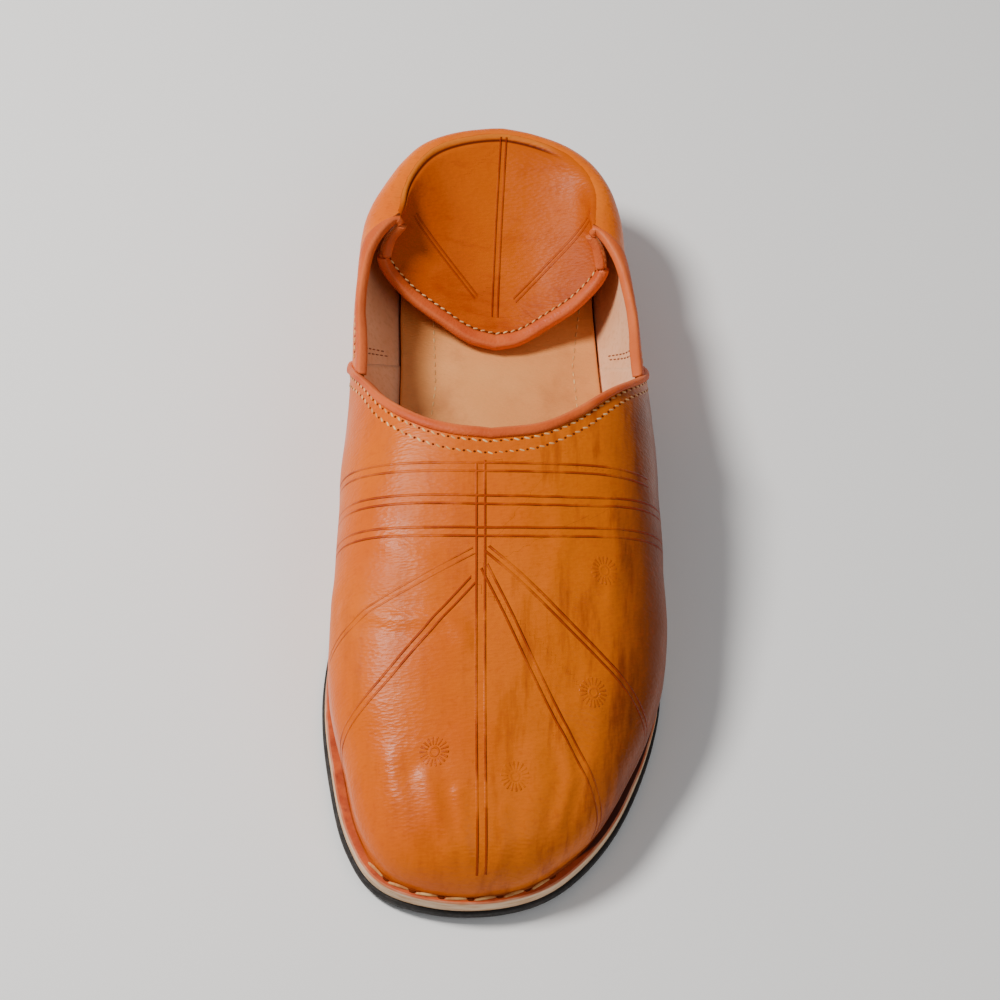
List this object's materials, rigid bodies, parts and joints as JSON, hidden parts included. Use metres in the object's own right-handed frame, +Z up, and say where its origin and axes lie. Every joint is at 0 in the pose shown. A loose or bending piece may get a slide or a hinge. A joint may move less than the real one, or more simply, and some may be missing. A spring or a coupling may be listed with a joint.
{
  "type": "babouche slipper",
  "caption": "flat leather babouche for the left foot, with a tooled vamp, a bound collar and its back folded in under the heel, on a stitched leather and rubber sole",
  "frame": {"origin": "on the floor, under the middle of the sole's length", "axes": "toe towards -Y, heel towards +Y, outer (little toe) side towards +X, up along +Z"},
  "size_m": [0.1065, 0.286, 0.065],
  "materials": {
    "black_rubber": "matte",
    "sole_leather": "matte",
    "insole_leather": "satin",
    "tan_leather": "satin",
    "binding_leather": "satin"
  },
  "bodies": {
    "root": {"outsole": "black_rubber", "midsole": "sole_leather", "insole": "insole_leather", "upper": "tan_leather", "vamp_binding": "binding_leather", "quarter_binding": "binding_leather"}
  },
  "joints": []
}
